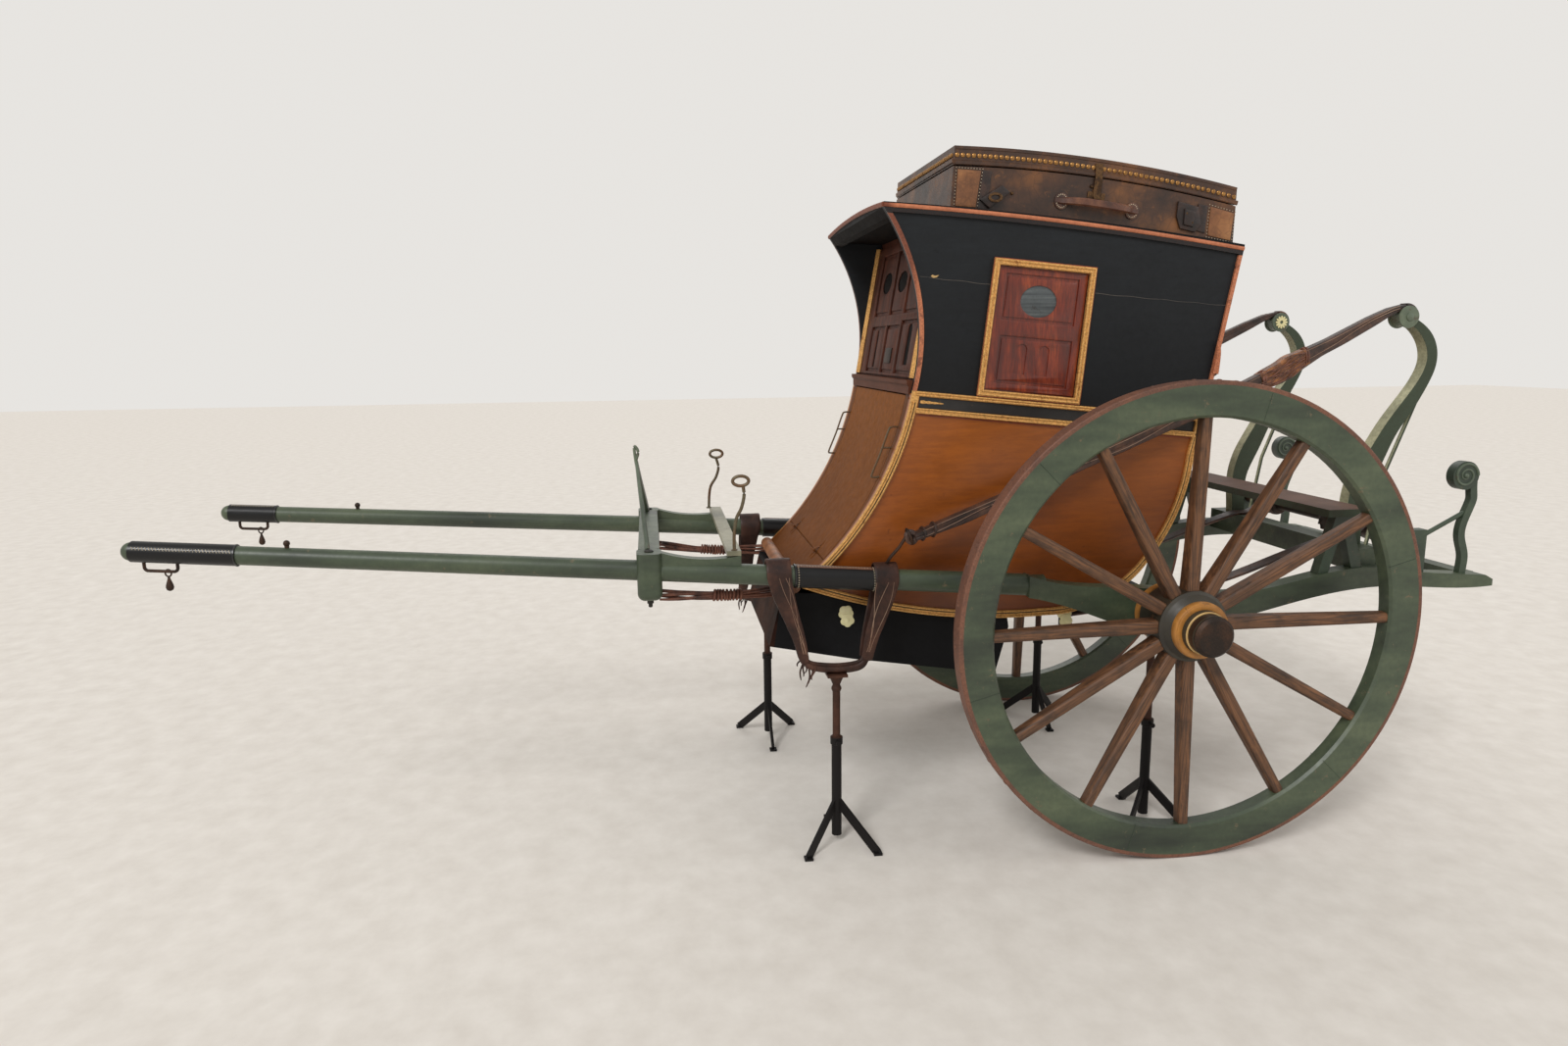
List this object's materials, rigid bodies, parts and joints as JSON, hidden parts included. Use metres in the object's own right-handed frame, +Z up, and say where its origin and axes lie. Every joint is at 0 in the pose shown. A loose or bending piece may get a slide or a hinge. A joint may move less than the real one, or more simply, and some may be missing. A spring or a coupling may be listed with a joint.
{
  "type": "horse drawn carriage",
  "caption": "Two-wheeled post chaise with a closed body slung on leather straps between long shafts, a roof trunk, spoked wheels and display stands.",
  "frame": {"origin": "on the floor, at the middle of the footprint of the whole carriage", "axes": "-Y towards the shaft tips (forwards), +X to the carriage's left, +Z up"},
  "size_m": [1.768, 4.5839, 2.3034],
  "materials": {
    "green_paint": "old green oil paint over wood, worn",
    "tyre_iron": "rusty wrought iron",
    "spoke_wood": "bare worn hardwood",
    "nave_wood": "dark painted hardwood",
    "ochre_paint": "ochre paint",
    "dark_iron": "dark greased iron",
    "axle_iron": "painted wrought iron",
    "black_leather": "black polished leather",
    "brown_leather": "old brown harness leather",
    "panel_amber": "varnished amber brown paint",
    "panel_black": "blue black varnished leather panel",
    "copper_bead": "dull copper bead",
    "gilt": "worn gilding",
    "mahogany": "varnished mahogany",
    "inner_wood": "bare brown wood",
    "boot_black": "black leather over boards",
    "seat_leather": "brown seat leather",
    "trunk_leather": "worn brown trunk leather",
    "brass_fittings": "old brass",
    "stand_black": "black painted steel tube",
    "board_wood": "weathered plank"
  },
  "bodies": {
    "chassis": {"axle": "axle_iron", "shafts": "green_paint", "shaft_leathers": "black_leather", "shaft_irons": "dark_iron", "front_crossbar": "green_paint", "a_frame": "dark_iron", "shaft_rails": "green_paint", "rear_crossbar": "green_paint", "rein_rods": "dark_iron", "lashings": "brown_leather", "lower_side_panels": "panel_amber", "upper_side_panels": "panel_black", "front_lower_panel": "panel_amber", "floor_panel": "inner_wood", "rear_panel": "panel_amber", "ceiling": "inner_wood", "roof": "boot_black", "front_frame": "inner_wood", "front_shutter": "mahogany", "side_shutters": "mahogany", "window_frames": "gilt", "side_mouldings": "gilt", "edge_beads": "copper_bead", "door_hinges": "dark_iron", "seat": "inner_wood", "seat_cushion": "seat_leather", "boot": "boot_black", "boot_front": "brown_leather", "front_roll": "brown_leather", "trunk_body": "trunk_leather", "trunk_fittings": "brass_fittings", "trunk_hinges": "brass_fittings", "rear_crossbeams": "green_paint", "rear_board": "board_wood", "rear_supports": "green_paint", "s_posts": "green_paint", "rollers": "dark_iron", "main_straps": "brown_leather", "strap_irons": "dark_iron", "sling_straps": "brown_leather", "windlass": "dark_iron", "rear_straps": "brown_leather", "rear_scrolls": "green_paint", "display_stands": "stand_black"},
    "wheel_left": {"wheel_left_tyre": "tyre_iron", "wheel_left_felloes": "green_paint", "wheel_left_spokes": "spoke_wood", "wheel_left_nave": "nave_wood", "wheel_left_nave_bands": "ochre_paint", "wheel_left_hub_cap": "dark_iron"},
    "wheel_right": {"wheel_right_tyre": "tyre_iron", "wheel_right_felloes": "green_paint", "wheel_right_spokes": "spoke_wood", "wheel_right_nave": "nave_wood", "wheel_right_nave_bands": "ochre_paint", "wheel_right_hub_cap": "dark_iron"},
    "front_door": {"door_panel": "panel_amber", "door_irons": "dark_iron"},
    "trunk_lid": {"trunk_lid": "trunk_leather", "lid_hinges": "brass_fittings"}
  },
  "joints": [
    {"name": "wheel_left_spin", "type": "hinge", "parent": "chassis", "child": "wheel_left", "pos_m": [0.69, 1.027, 0.78], "axis": [1, 0, 0], "continuous": true},
    {"name": "wheel_right_spin", "type": "hinge", "parent": "chassis", "child": "wheel_right", "pos_m": [-0.69, 1.027, 0.78], "axis": [1, 0, 0], "continuous": true},
    {"name": "front_door_hinge", "type": "hinge", "parent": "chassis", "child": "front_door", "pos_m": [0, -0.1155, 0.9744], "axis": [1, 0, 0], "range_deg": [0, 80]},
    {"name": "trunk_lid_hinge", "type": "hinge", "parent": "chassis", "child": "trunk_lid", "pos_m": [-0.377, 0.467, 2.2359], "axis": [0, -0.9931, 0.1169], "range_deg": [0, 100]}
  ]
}
